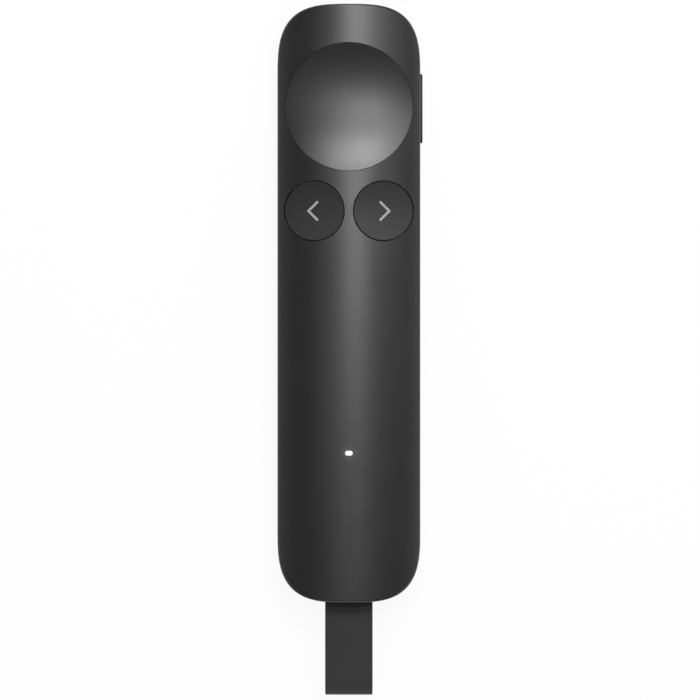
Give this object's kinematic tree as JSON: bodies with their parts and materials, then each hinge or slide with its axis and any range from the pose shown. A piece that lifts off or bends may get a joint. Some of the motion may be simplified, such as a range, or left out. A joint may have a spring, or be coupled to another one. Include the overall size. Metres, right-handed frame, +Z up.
{
  "type": "presentation clicker",
  "caption": "Slim crowned handheld presentation clicker with a dished pointer button, round chevron keys, a side key and a docked receiver on a strap loop.",
  "frame": {"origin": "centre of the flat face of the base pad, under the middle of the body", "axes": "+Z up out of the crown, +Y along the body towards the pointer dish, +X towards the side key"},
  "size_m": [0.0318, 0.1514, 0.0125],
  "materials": {
    "shell": "satin graphite with a fine metallic flake",
    "under_shell": "satin dark graphite",
    "dish": "satin graphite with a fine metallic flake",
    "key": "fine matte",
    "side_key": "fine matte",
    "icon": "printed grey",
    "base_pad": "soft matte",
    "frame_plastic": "plain moulded",
    "switch_plastic": "plain moulded",
    "white_plastic": "plain moulded",
    "receiver_plastic": "fine matte",
    "circuit_board": "solder mask",
    "chip": "moulded epoxy",
    "screw_steel": "plain",
    "shield_steel": "plain",
    "plug_steel": "smooth",
    "dome_metal": "plain",
    "battery_foil": "satin foil",
    "tape": "film",
    "lead_red": "insulated wire",
    "light_pipe": "clear, lit white",
    "strap": "close-woven ribbon"
  },
  "bodies": {
    "clicker": {"top_shell": "shell", "bottom_shell": "under_shell", "base_pad": "base_pad", "case_screws": "screw_steel", "key_guide_plate": "frame_plastic", "chassis": "frame_plastic", "main_board": "circuit_board", "board_screws": "screw_steel", "pointer_switch": "switch_plastic", "pointer_dome": "dome_metal", "back_switch": "switch_plastic", "back_dome": "dome_metal", "next_switch": "switch_plastic", "next_dome": "dome_metal", "side_switch": "switch_plastic", "side_dome": "dome_metal", "status_led": "white_plastic", "light_pipe": "light_pipe", "radio_chip": "chip", "rf_shield": "shield_steel", "motion_sensor": "chip", "antenna_chip": "white_plastic", "power_chip": "chip", "board_passives": "chip", "battery": "battery_foil", "battery_tape": "tape", "battery_leads": "lead_red", "battery_plug": "white_plastic", "battery_socket": "white_plastic", "vibration_motor": "shield_steel", "usb_socket": "plug_steel", "usb_socket_tongue": "switch_plastic", "dock_sleeve": "receiver_plastic"},
    "pointer_button": {"pointer_dish": "dish", "pointer_plunger": "white_plastic"},
    "back_button": {"back_key": "key", "back_icon": "icon", "back_plunger": "white_plastic"},
    "next_button": {"next_key": "key", "next_icon": "icon", "next_plunger": "white_plastic"},
    "side_button": {"side_key": "side_key", "side_plunger": "white_plastic"},
    "receiver": {"receiver_shell": "receiver_plastic", "receiver_cap": "receiver_plastic", "receiver_plug": "plug_steel", "receiver_plug_insert": "switch_plastic", "receiver_board": "circuit_board", "receiver_chip": "chip", "strap_pin": "screw_steel"},
    "strap": {"strap_loop": "strap"}
  },
  "joints": [
    {"name": "pointer_press", "type": "slide", "parent": "clicker", "child": "pointer_button", "axis": [0, 0, -1], "range_m": [0, 0.00035], "stiffness_N_per_m": 300, "springref_m": -0.002, "deforming": ["pointer_dome"]},
    {"name": "back_press", "type": "slide", "parent": "clicker", "child": "back_button", "axis": [0, 0, -1], "range_m": [0, 0.0004], "stiffness_N_per_m": 300, "springref_m": -0.002, "deforming": ["back_dome"]},
    {"name": "next_press", "type": "slide", "parent": "clicker", "child": "next_button", "axis": [0, 0, -1], "range_m": [0, 0.0004], "stiffness_N_per_m": 300, "springref_m": -0.002, "deforming": ["next_dome"]},
    {"name": "side_press", "type": "slide", "parent": "clicker", "child": "side_button", "axis": [-1, 0, 0], "range_m": [0, 0.00035], "stiffness_N_per_m": 300, "springref_m": -0.002, "deforming": ["side_dome"]},
    {"name": "receiver_slide", "type": "slide", "parent": "clicker", "child": "receiver", "axis": [0, -1, 0], "range_m": [0, 0.03]},
    {"name": "strap_swing", "type": "hinge", "parent": "receiver", "child": "strap", "pos_m": [0, -0.0629, 0.0062], "axis": [-1, 0, 0], "range_deg": [-6, 20]}
  ]
}
